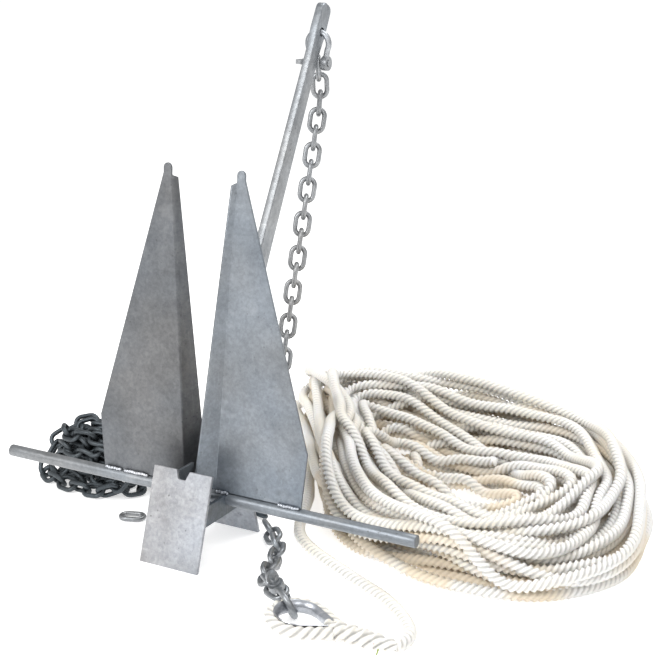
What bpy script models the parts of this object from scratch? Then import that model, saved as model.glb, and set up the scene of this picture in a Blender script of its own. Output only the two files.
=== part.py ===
"""Boat anchor of the twin-fluke pattern with its shackles, chain and rope.

The stock lies along X and carries two flukes, two palms, two webs and two
cheeks. The shank pivots on the stock and leans back onto the rear palm. A bow
shackle hangs from the head of the shank and holds the chain. The chain drops
to the floor, lies in a pile, runs out under the stock to a second shackle,
and ends in the eye of a coiled rope.

Lengths are in millimetres in the constants and in metres in the scene. While
it is built, X = Y = 0 is the middle of the stock. The last step moves
everything by ORIGIN_Y, so the origin is under the middle of the anchor.
"""

import math

import bmesh
import bpy
from mathutils import Matrix, Vector

MM = 0.001
GAP = 0.3
ORIGIN_Y = 134.65

# Stock: a plain round bar.
STOCK_LENGTH = 648.0
STOCK_RADIUS = 8.5
STOCK_HEIGHT = 78.2
STOCK_CHAMFER = 0.8

# Shank: a flat forging seen from the side, S along it from the pivot, T across.
SHANK_LEAN = math.radians(28.68)
SHANK_WIDTH = 12.0
SHANK_FOOT_RADIUS = 21.0
SHANK_FOOT_ANGLE = math.radians(65.0)
SHANK_TIP = 713.0
SHANK_NECK = 640.0
SHANK_NECK_HALF = 10.8
SHANK_HEAD_HALF = 14.0
SHANK_HEAD_CORNER = 9.0
SHANK_EYE = 672.0
SHANK_EYE_OFFSET = 2.0
SHANK_EYE_RADIUS = 6.2
SHANK_PIVOT_RADIUS = 9.0

# Palms: two leaning plates with a notch that the shank rests in.
PALM_WIDTH = 91.0
PALM_THICKNESS = 5.0
PALM_LEAN = math.radians(18.05)
PALM_FOOT = 81.0
PALM_TOP = 129.0
NOTCH_BOTTOM = 116.6
NOTCH_TOP_WIDTH = 21.0
NOTCH_BOTTOM_WIDTH = 13.5
NOTCH_CORNER = 3.0

# Webs and cheeks: upright plates between the palms, cut round the stock.
WEB_X = (40.2, 45.2)
WEB_Z = (58.0, 86.0)
CHEEK_X = (8.5, 12.5)
CHEEK_Z = (58.0, 121.0)
CHEEK_FREE_Y = 1.0
SADDLE_RADIUS = STOCK_RADIUS + GAP

# Flukes: a sheet in one plane with a flange folded along its inner edge.
FLUKE_THICKNESS = 4.0
FLUKE_BASE_Z = 87.3
FLUKE_LEAN = 22.8 / (520.9 - 88.0)
FLUKE_FOLD = ((25.5, FLUKE_BASE_Z), (49.9, 505.0))
FLUKE_TIP_Z = 521.0
FLUKE_TIP_OUTER = (62.4, 508.0)
FLUKE_TIP_RADIUS = 6.3
FLUKE_CORNER = (164.0, 162.0)
FLUKE_BASE_OUTER = (157.0, FLUKE_BASE_Z)
FLANGE_BASE = (9.5, 27.0, 115.0)
FLANGE_TIP = (45.6, 7.6, 502.0)

# Weld beads on the stock, in front of the fluke plates.
BEAD_RADIUS = 2.0
BEAD_Y = -4.4
BEAD_Z = STOCK_HEIGHT + 9.9
BEADS = {
    "weld_bead_left_outer": (-154.0, -127.0),
    "weld_bead_left_long": (-123.0, -82.0),
    "weld_bead_right_inner": (27.0, 48.0),
    "weld_bead_right_outer": (123.0, 156.0),
}

# Bow shackles: the same two pieces at the head of the shank and at the rope.
SHACKLE_WIRE = 4.3
SHACKLE_BOW_RADIUS = 16.8
SHACKLE_REACH = 44.0
SHACKLE_JAW = 12.6
SHACKLE_EAR_RADIUS = 10.4
SHACKLE_EAR_HALF = 4.2
PIN_RADIUS = 4.8
PIN_HOLE_RADIUS = 5.2
PIN_TIP = 18.5
PIN_COLLAR = (17.3, 20.5)
PIN_COLLAR_RADIUS = 7.6
PIN_TAB_CENTRE = 28.0
PIN_TAB_RADIUS = 8.0
PIN_TAB_HALF = 2.9
PIN_TAB_HOLE = 3.0

# Chain of round wire.
LINK_WIRE = 3.55
LINK_INNER_LENGTH = 25.8
LINK_OUTER_WIDTH = 27.0
LINK_PITCH = 25.15
LINK_PATH_STEPS = 6
HANGING_LINKS = 24
FIRST_LINK_DROP = 7.5
HANGING_START = Vector((0.05, 0.10, -0.99))
HANGING_LINE = Vector((-0.0427, -0.203, -0.978))
HANGING_YAW = (26.0, 28.3, 6)

# Floor chain: way points of the run that shows between palm and rope.
RUN_HEIGHT = 12.5
RUN_POINTS = (
    (50.0, 90.0, RUN_HEIGHT),
    (76.0, 60.0, RUN_HEIGHT),
    (100.0, 34.0, RUN_HEIGHT),
    (117.0, 4.0, RUN_HEIGHT),
    (128.0, -28.0, RUN_HEIGHT),
    (143.0, -66.0, 17.5),
)
RUN_LINKS = 10
RUN_PITCH = 24.3
HIDDEN_RUN_RADIUS = 10.0
HIDDEN_RUN_POINTS = (
    (20.0, 113.0, 10.4),
    (-20.0, 124.0, 10.4),
    (-70.0, 122.0, 10.4),
    (-108.0, 116.0, 10.4),
)
STRAY_LINK = (-134.0, 28.0, 4.0)
STRAY_LINK_YAW = 20.0
PILE_CENTRE = (-255.0, 120.0)
PILE_HALF = (128.0, 72.0)
PILE_HEIGHT = 92.0

# Rope end: shackle, thimble, eye and splice.
ROPE_RADIUS = 8.5
LOWER_PIN = Vector((189.5, -111.5, 23.2))
LOWER_BOW = Vector((0.775, -0.62, -0.11))
LOWER_PIN_AXIS = Vector((0.25, 0.32, -0.91))
EYE_CENTRE = (238.0, -150.0)
EYE_HEIGHT = 17.3
EYE_TILT = math.radians(5.6)
EYE_RADIUS = 35.0
EYE_TIP = 64.0
EYE_TURN = math.radians(4.0)
THIMBLE_WALL = 1.6
THIMBLE_REACH = 0.60
ROPE_REACH = 0.68
SPLICE_START = 45.0
THIMBLE_SPREAD = math.radians(63.0)
SPLICE_RADII = ((0.0, 12.0), (16.0, 14.5), (46.0, 14.0), (62.0, 12.0), (76.0, 9.0))
SPLICE_FLATNESS = 0.75
TAIL_POINTS = (
    (367.5, -141.0, 8.8),
    (374.0, -124.0, 8.8),
    (367.0, -102.0, 8.8),
    (351.0, -80.0, 8.8),
    (328.0, -58.0, 8.8),
    (299.0, -35.0, 8.8),
    (250.0, -10.0, 8.8),
    (206.0, 14.0, 8.8),
    (165.0, 36.0, 8.8),
    (125.0, 64.0, 8.8),
    (99.0, 96.0, 8.8),
    (84.0, 130.0, 8.8),
    (70.0, 165.0, 8.8),
)
TAIL_SPACING = 26.0

# Rope coil: outline on the floor and heights of its rim and middle.
COIL_CENTRE = (205.0, 325.0)
COIL_OUTLINE = (
    (112.0, 142.0), (160.0, 84.0), (214.0, 48.0), (263.0, 30.0), (318.0, 26.0),
    (365.0, 16.0), (407.0, 14.0), (455.0, 28.0), (499.0, 52.0), (537.0, 93.0),
    (566.0, 138.0), (568.0, 193.0), (555.0, 250.0), (538.0, 305.0), (500.0, 390.0),
    (450.0, 470.0), (385.0, 530.0), (310.0, 553.0), (243.0, 550.0), (180.0, 552.0),
    (100.0, 560.0), (20.0, 580.0), (-80.0, 600.0), (-185.0, 600.0), (-210.0, 565.0),
    (-140.0, 500.0), (-60.0, 450.0), (0.0, 380.0), (30.0, 300.0), (66.0, 215.0),
)
COIL_RIM = 88.0
COIL_MIDDLE = 52.0
COIL_CREST = 0.62
COIL_RINGS = 12

ZINC = ((0.40, 0.43, 0.47), 0.85, 0.45)
ZINC_DARK = ((0.20, 0.23, 0.26), 0.85, 0.5)
ZINC_BRIGHT = ((0.58, 0.61, 0.64), 0.95, 0.32)
NYLON = ((0.82, 0.80, 0.74), 0.0, 0.7)


def clear_scene():
    for obj in list(bpy.data.objects):
        bpy.data.objects.remove(obj, do_unlink=True)


def finish(obj, look):
    """Gives the object a Principled material of its own."""
    colour, metallic, roughness = look
    material = bpy.data.materials.new(obj.name)
    material.use_nodes = True
    shader = material.node_tree.nodes["Principled BSDF"]
    shader.inputs["Base Color"].default_value = (*colour, 1.0)
    shader.inputs["Metallic"].default_value = metallic
    shader.inputs["Roughness"].default_value = roughness
    obj.data.materials.append(material)
    return obj


def add_mesh(name, bm):
    bmesh.ops.recalc_face_normals(bm, faces=bm.faces)
    mesh = bpy.data.meshes.new(name)
    bm.to_mesh(mesh)
    bm.free()
    obj = bpy.data.objects.new(name, mesh)
    bpy.context.scene.collection.objects.link(obj)
    return obj


def prism(name, outline, along):
    """A flat outline pushed along a vector, all in millimetres."""
    bm = bmesh.new()
    face = bm.faces.new([bm.verts.new(Vector(p) * MM) for p in outline])
    pushed = bmesh.ops.extrude_face_region(bm, geom=[face])["geom"]
    corners = [v for v in pushed if isinstance(v, bmesh.types.BMVert)]
    bmesh.ops.translate(bm, verts=corners, vec=Vector(along) * MM)
    return add_mesh(name, bm)


def bar(name, start, end, radius, segments=32):
    """A round bar between two points."""
    start, end = Vector(start), Vector(end)
    axis = end - start
    turn = axis.to_track_quat("Z", "Y").to_matrix().to_4x4()
    bm = bmesh.new()
    bmesh.ops.create_cone(
        bm,
        cap_ends=True,
        segments=segments,
        radius1=radius * MM,
        radius2=radius * MM,
        depth=axis.length * MM,
        matrix=Matrix.Translation((start + end) / 2 * MM) @ turn,
    )
    return add_mesh(name, bm)


def helper(obj):
    """Marks a solid that only shapes another one."""
    obj.hide_render = True
    obj.display_type = "WIRE"
    return obj


def combine(obj, other, operation):
    helper(other)
    step = obj.modifiers.new(other.name, "BOOLEAN")
    step.operation = operation
    step.solver = "EXACT"
    step.object = other


def ease(obj, width, segments=2, angle=35.0):
    """Rounds the edges that are sharper than an angle."""
    step = obj.modifiers.new("eased edges", "BEVEL")
    step.width = width * MM
    step.segments = segments
    step.limit_method = "ANGLE"
    step.angle_limit = math.radians(angle)


def arc(centre, radius, start, end, steps):
    """Points on an arc, both ends included."""
    return [
        (
            centre[0] + radius * math.cos(start + (end - start) * i / steps),
            centre[1] + radius * math.sin(start + (end - start) * i / steps),
        )
        for i in range(steps + 1)
    ]


def wire(name, points, radius, closed=False, rings=2, scales=None):
    """A round wire through the points, as a bevelled curve."""
    curve = bpy.data.curves.new(name, "CURVE")
    curve.dimensions = "3D"
    curve.bevel_depth = radius * MM
    curve.bevel_resolution = rings
    curve.use_fill_caps = not closed
    spline = curve.splines.new("POLY")
    spline.points.add(len(points) - 1)
    for i, point in enumerate(points):
        spline.points[i].co = (*(Vector(point) * MM), 1.0)
        spline.points[i].radius = scales[i] if scales else 1.0
    spline.use_cyclic_u = closed
    obj = bpy.data.objects.new(name, curve)
    bpy.context.scene.collection.objects.link(obj)
    return obj


def smooth_path(points, spacing):
    """Evenly spaced points on a Catmull-Rom curve through the given ones."""
    points = [Vector(p) for p in points]
    ends = [2 * points[0] - points[1], *points, 2 * points[-1] - points[-2]]
    dense = []
    for a, b, c, d in zip(ends, ends[1:], ends[2:], ends[3:]):
        for i in range(20):
            t = i / 20
            dense.append(
                0.5
                * (
                    2 * b
                    + (c - a) * t
                    + (2 * a - 5 * b + 4 * c - d) * t * t
                    + (3 * b - a - 3 * c + d) * t * t * t
                )
            )
    dense.append(points[-1])
    total = sum((q - p).length for p, q in zip(dense, dense[1:]))
    count = max(2, round(total / spacing))
    step, result, walked = total / count, [dense[0]], 0.0
    for p, q in zip(dense, dense[1:]):
        length = (q - p).length
        while len(result) < count and walked + length >= step * len(result):
            result.append(p.lerp(q, (step * len(result) - walked) / length))
        walked += length
    result.append(dense[-1])
    return result


FLUKE_ASSEMBLY = (
    "stock", "palm_front", "palm_rear", "crown_web_left", "crown_web_right",
    "crown_cheek_front", "crown_cheek_rear", "fluke_left", "fluke_right",
    "weld_bead_left_outer", "weld_bead_left_long",
    "weld_bead_right_inner", "weld_bead_right_outer",
)


# --- anchor body -----------------------------------------------------------


def shank_point(s, t, x=0.0):
    """A point of the shank from the distances along and across it."""
    sin, cos = math.sin(SHANK_LEAN), math.cos(SHANK_LEAN)
    return Vector((x, s * sin + t * cos, STOCK_HEIGHT + s * cos - t * sin))


def build_stock():
    half = STOCK_LENGTH / 2
    stock = bar(
        "stock", (-half, 0, STOCK_HEIGHT), (half, 0, STOCK_HEIGHT), STOCK_RADIUS, 40
    )
    ease(stock, STOCK_CHAMFER, 1, 60.0)
    return finish(stock, ZINC)


def build_shank():
    foot = arc((0, 0), SHANK_FOOT_RADIUS, SHANK_FOOT_ANGLE, 2 * math.pi - SHANK_FOOT_ANGLE, 16)
    corner = SHANK_HEAD_CORNER
    inner = SHANK_HEAD_HALF - 1.0 - corner
    outline = [
        *foot,
        (SHANK_NECK, -SHANK_NECK_HALF),
        (SHANK_EYE, -SHANK_HEAD_HALF),
        *arc((SHANK_TIP - corner, -inner), corner, -math.pi / 2, 0, 4),
        *arc((SHANK_TIP - corner, inner), corner, 0, math.pi / 2, 4),
        (SHANK_EYE, SHANK_HEAD_HALF),
        (SHANK_NECK, SHANK_NECK_HALF),
    ]
    half = SHANK_WIDTH / 2
    shank = prism("shank", [shank_point(s, t, -half) for s, t in outline], (SHANK_WIDTH, 0, 0))
    ease(shank, 1.4, 2, 50.0)
    for name, spot, radius in (
        ("shank eye bore", (SHANK_EYE, SHANK_EYE_OFFSET), SHANK_EYE_RADIUS),
        ("shank pivot bore", (0.0, 0.0), SHANK_PIVOT_RADIUS),
    ):
        bore = bar(name, shank_point(*spot, -20), shank_point(*spot, 20), radius, 28)
        combine(shank, bore, "DIFFERENCE")
    return finish(shank, ZINC)


def palm_inner_y(z):
    """How far the inner face of a palm is from the stock at a height."""
    return PALM_FOOT - PALM_THICKNESS / math.cos(PALM_LEAN) - z * math.tan(PALM_LEAN)


def build_palm(name, side):
    """side is 1 for the rear palm and -1 for the front one."""
    up = Vector((0, -math.sin(PALM_LEAN), math.cos(PALM_LEAN)))
    out = Vector((0, math.cos(PALM_LEAN), math.sin(PALM_LEAN)))
    foot = Vector((0, palm_inner_y(0), 0))
    half, top, low = PALM_WIDTH / 2, NOTCH_TOP_WIDTH / 2, NOTCH_BOTTOM_WIDTH / 2
    corner = NOTCH_CORNER
    outline = [
        (-half, -6.0),
        (half, -6.0),
        (half, PALM_TOP),
        (top, PALM_TOP),
        *arc((low - corner, NOTCH_BOTTOM + corner), corner, 0, -math.pi / 2, 4),
        *arc((corner - low, NOTCH_BOTTOM + corner), corner, -math.pi / 2, -math.pi, 4),
        (-top, PALM_TOP),
        (-half, PALM_TOP),
    ]
    palm = prism(
        name,
        [foot + up * v + Vector((u, 0, 0)) for u, v in outline],
        out * PALM_THICKNESS,
    )
    if side < 0:
        palm.data.transform(Matrix.Rotation(math.pi, 4, "Z"))
    ease(palm, 0.6, 1, 50.0)
    floor = prism(
        name + " floor cut",
        [(-80, -120, 0), (80, -120, 0), (80, 120, 0), (-80, 120, 0)],
        (0, 0, -30),
    )
    combine(palm, floor, "DIFFERENCE")
    return finish(palm, ZINC)


def build_web(name, side):
    low, high = WEB_Z
    a, b = palm_inner_y(low) - 0.4, palm_inner_y(high) - 0.4
    x = WEB_X[0] if side > 0 else -WEB_X[1]
    web = prism(
        name,
        [(x, -a, low), (x, a, low), (x, b, high), (x, -b, high)],
        (WEB_X[1] - WEB_X[0], 0, 0),
    )
    saddle = bar(
        name + " saddle",
        (x - 5, 0, STOCK_HEIGHT),
        (x + 10, 0, STOCK_HEIGHT),
        SADDLE_RADIUS,
        40,
    )
    combine(web, saddle, "DIFFERENCE")
    return finish(web, ZINC_DARK)


def build_cheek(name, side):
    """An upright plate beside the shank, in the rear half or the front half."""
    low, high = CHEEK_Z
    outline = [
        (CHEEK_FREE_Y, low),
        (palm_inner_y(low) - 0.4, low),
        (palm_inner_y(high) - 0.4, high),
        (CHEEK_FREE_Y, high),
    ]
    cheek = prism(
        name,
        [(CHEEK_X[0], y, z) for y, z in outline],
        (CHEEK_X[1] - CHEEK_X[0], 0, 0),
    )
    if side < 0:
        cheek.data.transform(Matrix.Rotation(math.pi, 4, "Z"))
    saddle = bar(
        name + " saddle",
        (-30, 0, STOCK_HEIGHT),
        (30, 0, STOCK_HEIGHT),
        SADDLE_RADIUS,
        40,
    )
    combine(cheek, saddle, "DIFFERENCE")
    return finish(cheek, ZINC_DARK)


def build_fluke(name, side):
    """A folded sheet. side 1 is right with its flange to the front."""

    def on_plate(x, z, off=0.0):
        return Vector((side * x, (z - FLUKE_BASE_Z) * FLUKE_LEAN - side * off, z))

    (x0, z0), (x1, z1) = FLUKE_FOLD
    middle = (x1 + FLUKE_TIP_RADIUS, FLUKE_TIP_Z - FLUKE_TIP_RADIUS)
    tip = arc(middle, FLUKE_TIP_RADIUS, math.pi, math.radians(10), 6)
    bm = bmesh.new()
    points = [on_plate(x0, z0), on_plate(*FLUKE_BASE_OUTER), on_plate(*FLUKE_CORNER)]
    points += [on_plate(*FLUKE_TIP_OUTER)]
    points += [on_plate(x, z) for x, z in reversed(tip)]
    points += [on_plate(x1, z1)]
    verts = [bm.verts.new(p * MM) for p in points]
    bm.faces.new(verts)
    base = bm.verts.new(on_plate(FLANGE_BASE[0], FLANGE_BASE[2], FLANGE_BASE[1]) * MM)
    end = bm.verts.new(on_plate(FLANGE_TIP[0], FLANGE_TIP[2], FLANGE_TIP[1]) * MM)
    bm.faces.new([verts[0], verts[-1], end, base])
    fluke = add_mesh(name, bm)
    sheet = fluke.modifiers.new("sheet thickness", "SOLIDIFY")
    sheet.thickness = FLUKE_THICKNESS * MM
    sheet.offset = 0.0
    sheet.use_even_offset = True
    ease(fluke, 0.7, 1, 50.0)
    return finish(fluke, ZINC)


def build_bead(name, start, end):
    """A lumpy bead whose ends run out thin."""
    count = 9
    points, scales = [], []
    for i in range(count):
        t = i / (count - 1)
        points.append((start + (end - start) * t, BEAD_Y, BEAD_Z))
        scales.append((0.45 + 0.55 * math.sin(math.pi * t) ** 0.5) * (0.9 + 0.1 * math.cos(5.0 * i)))
    return finish(wire(name, points, BEAD_RADIUS, rings=2, scales=scales), ZINC_BRIGHT)


# --- shackles and chain ----------------------------------------------------


def frame_at(origin, x_axis, up):
    """A matrix with its X on x_axis and its Z as near to up as it can be."""
    x = Vector(x_axis).normalized()
    z = Vector(up)
    z = (z - x * z.dot(x)).normalized()
    y = z.cross(x)
    turn = Matrix((x, y, z)).transposed().to_4x4()
    return Matrix.Translation(Vector(origin) * MM) @ turn


def build_bow(name, place, look):
    """Bow of a shackle: pin along X at the origin, crown up Z."""
    ring = (0.0, SHACKLE_REACH - SHACKLE_BOW_RADIUS)
    bend = arc(ring, SHACKLE_BOW_RADIUS, math.radians(-28), math.radians(208), 18)
    leg = [(SHACKLE_JAW, 0.0), (SHACKLE_JAW, 9.0)]
    path = leg + bend + [(-x, z) for x, z in reversed(leg)]
    bow = wire(name, [(x, 0.0, z) for x, z in path], SHACKLE_WIRE, rings=3)
    graph = bpy.context.evaluated_depsgraph_get()
    solid = bpy.data.meshes.new_from_object(bow.evaluated_get(graph))
    bpy.data.objects.remove(bow, do_unlink=True)
    bow = bpy.data.objects.new(name, solid)
    bpy.context.scene.collection.objects.link(bow)
    weld = bow.modifiers.new("joined caps", "WELD")
    weld.merge_threshold = 0.00001
    for side in (-1, 1):
        x = side * SHACKLE_JAW
        ear = bar(
            f"{name} ear {side}",
            (x - SHACKLE_EAR_HALF, 0, 0),
            (x + SHACKLE_EAR_HALF, 0, 0),
            SHACKLE_EAR_RADIUS,
            24,
        )
        combine(bow, ear, "UNION")
        ear.matrix_world = place
    bore = bar(name + " bore", (-30, 0, 0), (30, 0, 0), PIN_HOLE_RADIUS, 24)
    combine(bow, bore, "DIFFERENCE")
    bore.matrix_world = place
    bow.matrix_world = place
    return finish(bow, look)


def build_pin(name, place, look):
    """Pin of a shackle along X, with a flat tab at its minus end."""
    pin = bar(name, (-PIN_TAB_CENTRE, 0, 0), (PIN_TIP, 0, 0), PIN_RADIUS, 20)
    collar = bar(
        name + " collar", (-PIN_COLLAR[0], 0, 0), (-PIN_COLLAR[1], 0, 0), PIN_COLLAR_RADIUS, 20
    )
    tab = bar(
        name + " tab",
        (-PIN_TAB_CENTRE, 0, -PIN_TAB_HALF),
        (-PIN_TAB_CENTRE, 0, PIN_TAB_HALF),
        PIN_TAB_RADIUS,
        20,
    )
    hole = bar(
        name + " tab hole", (-PIN_TAB_CENTRE, 0, -9), (-PIN_TAB_CENTRE, 0, 9), PIN_TAB_HOLE, 12
    )
    for other, operation in ((collar, "UNION"), (tab, "UNION"), (hole, "DIFFERENCE")):
        combine(pin, other, operation)
        other.matrix_world = place
    pin.matrix_world = place
    return finish(pin, look)


def build_link(name, centre, along, across, look):
    """One chain link: a stadium of wire from its long and wide axes."""
    along = Vector(along).normalized()
    across = Vector(across)
    across = (across - along * across.dot(along)).normalized()
    turn = LINK_OUTER_WIDTH / 2 - LINK_WIRE
    straight = LINK_INNER_LENGTH / 2 + LINK_WIRE - turn
    flat = arc((straight, 0), turn, -math.pi / 2, math.pi / 2, LINK_PATH_STEPS)
    flat += arc((-straight, 0), turn, math.pi / 2, 3 * math.pi / 2, LINK_PATH_STEPS)
    points = [Vector(centre) + along * u + across * v for u, v in flat]
    return finish(wire(name, points, LINK_WIRE, closed=True), look)


def hanging_centres(pin):
    """Centres of the hanging links, from the pin down to the floor."""
    centres = [Vector((0.0, pin.y + 0.6, pin.z - FIRST_LINK_DROP))]
    for i in range(1, HANGING_LINKS):
        mix = min(1.0, (i - 1) / 2)
        way = HANGING_START.lerp(HANGING_LINE, mix).normalized()
        centres.append(centres[-1] + way * LINK_PITCH)
    return centres


def build_hanging_chain(pin):
    centres = hanging_centres(pin)
    first, last, steps = HANGING_YAW
    for i, centre in enumerate(centres):
        before = centres[max(i - 1, 0)]
        after = centres[min(i + 1, len(centres) - 1)]
        along = after - before if i else Vector((0.02, 0.05, -1.0))
        yaw = math.radians(first + (last - first) * min(1.0, i / steps))
        across = Vector((-math.sin(yaw), math.cos(yaw), 0))
        if i % 2:
            across = Vector((math.cos(yaw), math.sin(yaw), 0))
        build_link(f"chain_link_{i + 1:02d}", centre, along, across, ZINC)


def lower_pin_axis():
    """The part of the lower pin's direction that is square to the bow's."""
    bow = LOWER_BOW.normalized()
    return (LOWER_PIN_AXIS - bow * LOWER_PIN_AXIS.dot(bow)).normalized()


def build_floor_run():
    """The run of links that comes out from behind the rear palm."""
    pin_axis = lower_pin_axis()
    back = pin_axis.cross(Vector((0, 0, 1))).normalized()
    if back.dot(LOWER_BOW) > 0:
        back = -back
    last = LOWER_PIN + back * FIRST_LINK_DROP
    before_last = last + back * RUN_PITCH * 0.6 - Vector((0, 0, 0.5))
    path = smooth_path([*RUN_POINTS, before_last, last], 1.0)
    path.reverse()
    walked, centres = 0.0, [path[0]]
    for p, q in zip(path, path[1:]):
        walked += (q - p).length
        if walked >= RUN_PITCH * len(centres) and len(centres) < RUN_LINKS:
            centres.append(q)
    flat = pin_axis.cross(back)
    for i, centre in enumerate(centres):
        before = centres[max(i - 1, 0)]
        after = centres[min(i + 1, len(centres) - 1)]
        along = (after - before).normalized() if i else back
        flat = (flat - along * flat.dot(along)).normalized()
        across = along.cross(flat) if i % 2 else flat
        name = f"floor_link_{i + 1:02d}"
        build_link(name, centre, along, across, ZINC)


def build_stray_link():
    yaw = math.radians(STRAY_LINK_YAW)
    along = (math.cos(yaw), math.sin(yaw), 0)
    build_link("stray_link", STRAY_LINK, along, (-math.sin(yaw), math.cos(yaw), 0), ZINC)


def build_hidden_run():
    path = smooth_path(HIDDEN_RUN_POINTS, 14.0)
    finish(wire("chain_run_behind", path, HIDDEN_RUN_RADIUS, rings=4), ZINC_DARK)


def build_heap(name, centre, outline, height, rings, look):
    """A closed heap: rings of points from the outline in to the middle."""
    bm = bmesh.new()
    cx, cy = centre
    top = []
    for k in range(rings):
        share = 1.0 - k / rings
        row = [
            bm.verts.new(
                Vector(
                    (
                        cx + (x - cx) * share,
                        cy + (y - cy) * share,
                        height(share, i / len(outline)),
                    )
                )
                * MM
            )
            for i, (x, y) in enumerate(outline)
        ]
        top.append(row)
    low = [bm.verts.new(Vector((x, y, 0.6)) * MM) for x, y in outline]
    peak = bm.verts.new(Vector((cx, cy, height(0.0, 0.0))) * MM)
    count = len(outline)
    rows = [low, *top]
    for outer, inner in zip(rows, rows[1:]):
        for i in range(count):
            j = (i + 1) % count
            bm.faces.new([outer[i], outer[j], inner[j], inner[i]])
    for i in range(count):
        bm.faces.new([rows[-1][i], rows[-1][(i + 1) % count], peak])
    bm.faces.new(list(reversed(low)))
    return finish(add_mesh(name, bm), look)


def build_pile():
    cx, cy = PILE_CENTRE
    hx, hy = PILE_HALF
    outline = []
    for i in range(36):
        a = 2 * math.pi * i / 36
        wave = 1.0 + 0.05 * math.sin(3 * a + 0.7) + 0.03 * math.sin(7 * a)
        outline.append((cx + hx * wave * math.cos(a), cy + hy * wave * math.sin(a)))

    def height(share, turn):
        dome = PILE_HEIGHT * math.sqrt(max(0.0, 1.0 - share**2.4))
        return 8.0 + dome * (1.0 + 0.05 * math.sin(4 * math.pi * turn) * share)

    build_heap("chain_pile", PILE_CENTRE, outline, height, 10, ZINC_DARK)


# --- rope ------------------------------------------------------------------


def eye_frame():
    turn = Matrix.Rotation(EYE_TURN, 4, "Z") @ Matrix.Rotation(EYE_TILT, 4, "Y")
    return Matrix.Translation(Vector((*EYE_CENTRE, EYE_HEIGHT))) @ turn


def eye_path(reach):
    """Centre line of the rope round the thimble: a teardrop, tip to +X.

    reach says how far along each leg, from the bend to the tip, it goes.
    """
    side = math.acos(EYE_RADIUS / EYE_TIP)
    bend = arc((0, 0), EYE_RADIUS, side, 2 * math.pi - side, 22)
    tip = Vector((EYE_TIP, 0))
    top, end = Vector(bend[0]), Vector(bend[-1])
    run = [top.lerp(tip, reach * i / 4) for i in range(4, 0, -1)]
    back = [end.lerp(tip, reach * i / 4) for i in range(1, 5)]
    points = [(p.x, p.y) for p in run] + bend + [(p.x, p.y) for p in back]
    place = eye_frame()
    return [place @ Vector((x, y, 0.0)) for x, y in points]


def build_thimble():
    """A channel bent into a teardrop and open to the outside."""
    path = eye_path(THIMBLE_REACH)
    last = len(path) - 1
    middle = eye_frame() @ Vector((EYE_TIP * 0.2, 0, 0))
    radius = ROPE_RADIUS + GAP + THIMBLE_WALL / 2
    bm = bmesh.new()
    rows = []
    for i, point in enumerate(path):
        way = (path[min(i + 1, last)] - path[max(i - 1, 0)]).normalized()
        inward = Vector((0, 0, 1)).cross(way).normalized()
        if inward.dot(middle - point) < 0:
            inward = -inward
        row = []
        for k in range(9):
            a = THIMBLE_SPREAD * (k / 4 - 1.0)
            offset = inward * math.cos(a) * radius + Vector((0, 0, math.sin(a) * radius))
            row.append(bm.verts.new((point + offset) * MM))
        rows.append(row)
    for a, b in zip(rows, rows[1:]):
        for k in range(8):
            bm.faces.new([a[k], a[k + 1], b[k + 1], b[k]])
    thimble = add_mesh("thimble", bm)
    sheet = thimble.modifiers.new("wall", "SOLIDIFY")
    sheet.thickness = THIMBLE_WALL * MM
    sheet.offset = 0.0
    return finish(thimble, ZINC_BRIGHT)


def build_rope_eye():
    """Rope round the thimble, joined to the thick splice behind it."""
    eye = wire("rope_eye_loop", eye_path(ROPE_REACH), ROPE_RADIUS, rings=4)
    graph = bpy.context.evaluated_depsgraph_get()
    solid = bpy.data.meshes.new_from_object(eye.evaluated_get(graph))
    bpy.data.objects.remove(eye, do_unlink=True)
    eye = bpy.data.objects.new("rope_eye", solid)
    bpy.context.scene.collection.objects.link(eye)
    weld = eye.modifiers.new("joined caps", "WELD")
    weld.merge_threshold = 0.00001
    place = eye_frame()
    start = SPLICE_START
    bm = bmesh.new()
    rows = []
    for along, radius in SPLICE_RADII:
        row = []
        for k in range(16):
            a = 2 * math.pi * k / 16
            spot = place @ Vector((start + along, radius * math.cos(a), 0.0))
            spot.z = max(spot.z, radius * SPLICE_FLATNESS + 0.6)
            spot.z += radius * SPLICE_FLATNESS * math.sin(a)
            row.append(bm.verts.new(spot * MM))
        rows.append(row)
    for a, b in zip(rows, rows[1:]):
        for k in range(16):
            j = (k + 1) % 16
            bm.faces.new([a[k], a[j], b[j], b[k]])
    bm.faces.new(list(reversed(rows[0])))
    bm.faces.new(rows[-1])
    splice = add_mesh("splice", bm)
    combine(eye, splice, "UNION")
    return finish(eye, NYLON)


def build_tail():
    path = smooth_path(TAIL_POINTS, TAIL_SPACING)
    finish(wire("rope_tail", path, ROPE_RADIUS, rings=3), NYLON)


def build_coil():
    def height(share, turn):
        if share >= COIL_CREST:
            fall = (share - COIL_CREST) / (1.0 - COIL_CREST)
            level = COIL_RIM * math.sqrt(max(0.0, 1.0 - fall**2.2))
        else:
            rise = share / COIL_CREST
            level = COIL_MIDDLE + (COIL_RIM - COIL_MIDDLE) * rise**2
        return 10.0 + level * (1.0 + 0.08 * math.sin(2 * math.pi * turn + 2.4))

    build_heap("rope_coil", COIL_CENTRE, COIL_OUTLINE, height, COIL_RINGS, NYLON)


def hang_on(name, place, members):
    """Parents pieces to an empty on the axis that they turn about."""
    pivot = bpy.data.objects.new(name, None)
    bpy.context.scene.collection.objects.link(pivot)
    pivot.location = Vector(place) * MM
    bpy.context.view_layer.update()
    for member in members:
        obj = bpy.data.objects[member]
        obj.parent = pivot
        obj.matrix_parent_inverse = pivot.matrix_world.inverted()


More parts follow.
